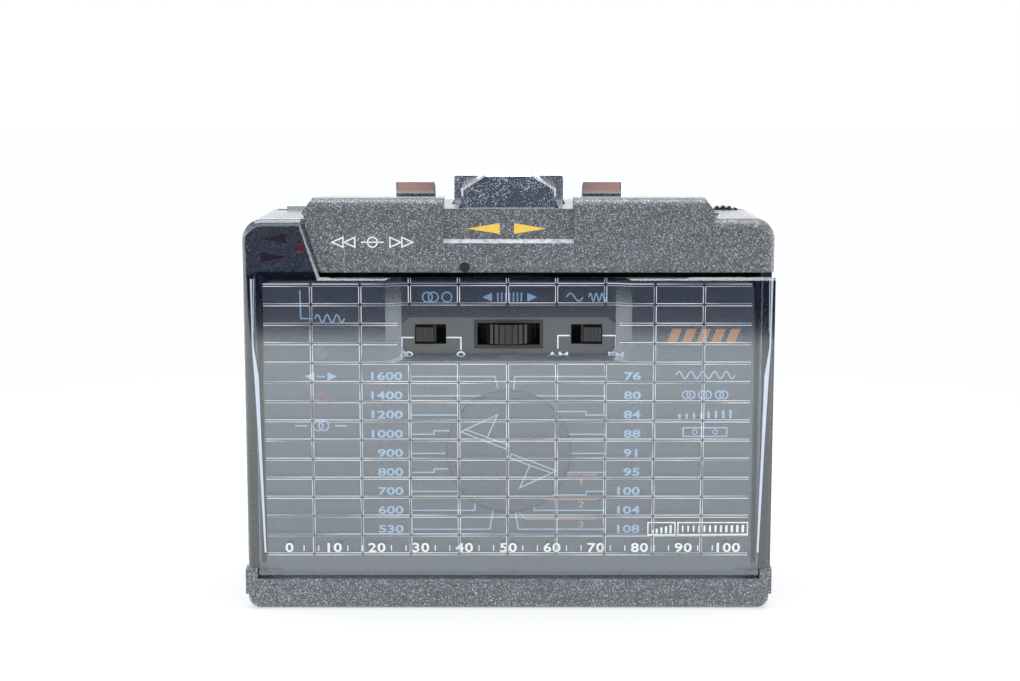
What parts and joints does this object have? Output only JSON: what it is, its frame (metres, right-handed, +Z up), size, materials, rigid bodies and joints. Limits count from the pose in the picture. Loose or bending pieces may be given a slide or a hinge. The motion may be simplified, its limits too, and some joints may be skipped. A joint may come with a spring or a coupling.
{
  "type": "radio cassette player",
  "caption": "Pocket radio cassette player with a hinged clear door, a cassette-shaped tuner pack held behind it, sprung top keys and the tape drive behind the pack.",
  "frame": {"origin": "middle of the flat foot that the player stands on", "axes": "+X to the viewer's right, the front faces -Y, +Z up"},
  "size_m": [0.1092, 0.033, 0.0901],
  "materials": {
    "speckled_shell": "dark grey moulding with fine metallic flecks",
    "smoke_clear": "clear smoky moulded plastic",
    "pack_plastic": "dark grey-green satin moulding",
    "black_plastic": "black moulding",
    "black_steel": "black painted pressed steel",
    "bright_steel": "plated steel",
    "chrome_cap": "polished chrome plating",
    "brass": "sintered brass",
    "rubber": "black rubber",
    "red_lens": "dark red tinted plastic",
    "green_lens": "green tinted plastic",
    "board": "glass-fibre circuit board",
    "ferrite": "sintered ferrite",
    "cell_jacket": "plain cell jacket"
  },
  "bodies": {
    "player": {"front_frame": "speckled_shell", "rear_case": "speckled_shell", "deck_plate": "black_steel", "direction_lenses": "red_lens", "power_led": "red_lens", "hinge_pins": "bright_steel", "capstan_bushes": "brass", "flywheel_bracket": "bright_steel", "drive_motor": "bright_steel", "drive_belt": "rubber", "deck_contacts": "brass", "circuit_board": "board", "volume_control": "black_plastic", "headphone_jack": "black_plastic", "case_screws": "bright_steel", "battery_cells": "cell_jacket", "battery_contacts": "bright_steel"},
    "door": {"door_lens": "smoke_clear", "pack_holder": "black_plastic", "pack_front_case": "pack_plastic", "pack_rear_case": "pack_plastic", "tuner_board": "board", "ferrite_aerial": "ferrite", "tuning_capacitor": "black_plastic", "tune_led": "green_lens", "stereo_led": "red_lens", "pack_contacts": "brass"},
    "tuning_knob": {"tuning_wheel": "black_plastic", "dial_drive_shaft": "bright_steel", "dial_drive_roller": "rubber"},
    "dial": {"dial_disc": "pack_plastic"},
    "mode_switch": {"mode_knob": "black_plastic"},
    "band_switch": {"band_knob": "black_plastic"},
    "direction_button": {"direction_key": "chrome_cap"},
    "stop_button": {"stop_key": "chrome_cap"},
    "play_button": {"play_key": "chrome_cap"},
    "carriage": {"head_carriage": "bright_steel", "tape_head": "bright_steel"},
    "left_pinch": {"left_pinch_roller": "rubber"},
    "right_pinch": {"right_pinch_roller": "rubber"},
    "supply_reel": {"supply_spindle": "black_plastic"},
    "takeup_reel": {"takeup_spindle": "black_plastic"},
    "left_capstan": {"left_flywheel": "bright_steel"},
    "right_capstan": {"right_flywheel": "bright_steel"},
    "motor_rotor": {"motor_pulley": "brass"},
    "volume": {"volume_wheel": "black_plastic"},
    "tape_selector": {"tape_switch": "chrome_cap"},
    "battery_lid": {"battery_cover": "speckled_shell"}
  },
  "joints": [
    {"name": "door_hinge", "type": "hinge", "parent": "player", "child": "door", "pos_m": [0, -0.0155, 0.0077], "axis": [1, 0, 0], "range_deg": [0, 65]},
    {"name": "tuning_turn", "type": "hinge", "parent": "door", "child": "tuning_knob", "pos_m": [0, -0.0096, 0.0574], "axis": [0, 0, 1], "range_deg": [-500, 500]},
    {"name": "dial_turn", "type": "hinge", "parent": "door", "child": "dial", "pos_m": [0, -0.0132, 0.033], "axis": [0, 1, 0], "range_deg": [-150, 150]},
    {"name": "mode_slide", "type": "slide", "parent": "door", "child": "mode_switch", "axis": [1, 0, 0], "range_m": [0, 0.0024]},
    {"name": "band_slide", "type": "slide", "parent": "door", "child": "band_switch", "axis": [-1, 0, 0], "range_m": [0, 0.0024]},
    {"name": "direction_press", "type": "slide", "parent": "player", "child": "direction_button", "axis": [0, 0, -1], "range_m": [0, 0.0022], "stiffness_N_per_m": 250, "springref_m": -0.002},
    {"name": "stop_press", "type": "slide", "parent": "player", "child": "stop_button", "axis": [0, 0, -1], "range_m": [0, 0.0022], "stiffness_N_per_m": 250, "springref_m": -0.002},
    {"name": "carriage_slide", "type": "slide", "parent": "player", "child": "carriage", "axis": [0, 0, -1], "range_m": [0, 0.006], "stiffness_N_per_m": 150, "springref_m": -0.004},
    {"name": "play_press", "type": "slide", "parent": "player", "child": "play_button", "axis": [0, 0, -1], "range_m": [0, 0.0022]},
    {"name": "left_pinch_spin", "type": "hinge", "parent": "carriage", "child": "left_pinch", "pos_m": [-0.031, -0.0086, 0.0736], "axis": [0, 1, 0], "continuous": true},
    {"name": "right_pinch_spin", "type": "hinge", "parent": "carriage", "child": "right_pinch", "pos_m": [0.031, -0.0086, 0.0736], "axis": [0, 1, 0], "continuous": true},
    {"name": "supply_spin", "type": "hinge", "parent": "player", "child": "supply_reel", "pos_m": [-0.02125, -0.002, 0.0344], "axis": [0, 1, 0], "continuous": true},
    {"name": "takeup_spin", "type": "hinge", "parent": "player", "child": "takeup_reel", "pos_m": [0.02125, -0.002, 0.0344], "axis": [0, 1, 0], "continuous": true},
    {"name": "left_capstan_spin", "type": "hinge", "parent": "player", "child": "left_capstan", "pos_m": [-0.031, 0.0018, 0.0635], "axis": [0, 1, 0], "continuous": true},
    {"name": "right_capstan_spin", "type": "hinge", "parent": "player", "child": "right_capstan", "pos_m": [0.031, 0.0018, 0.0635], "axis": [0, 1, 0], "continuous": true},
    {"name": "motor_spin", "type": "hinge", "parent": "player", "child": "motor_rotor", "pos_m": [0.038, 0.002, 0.033], "axis": [0, 1, 0], "continuous": true},
    {"name": "volume_turn", "type": "hinge", "parent": "player", "child": "volume", "pos_m": [0.0466, 0.013, 0.074], "axis": [0, 1, 0], "range_deg": [0, 270]},
    {"name": "tape_select_slide", "type": "slide", "parent": "player", "child": "tape_selector", "axis": [-1, 0, 0], "range_m": [0, 0.002]},
    {"name": "battery_cover_slide", "type": "slide", "parent": "player", "child": "battery_lid", "axis": [-1, 0, 0], "range_m": [0, 0.012]}
  ],
  "couplings": [
    {"joint": "dial_turn", "follows": "tuning_turn", "ratio": 0.29703},
    {"joint": "play_press", "follows": "carriage_slide", "ratio": 0.36667},
    {"joint": "right_capstan_spin", "follows": "left_capstan_spin", "ratio": 1},
    {"joint": "motor_spin", "follows": "left_capstan_spin", "ratio": 4.1}
  ]
}
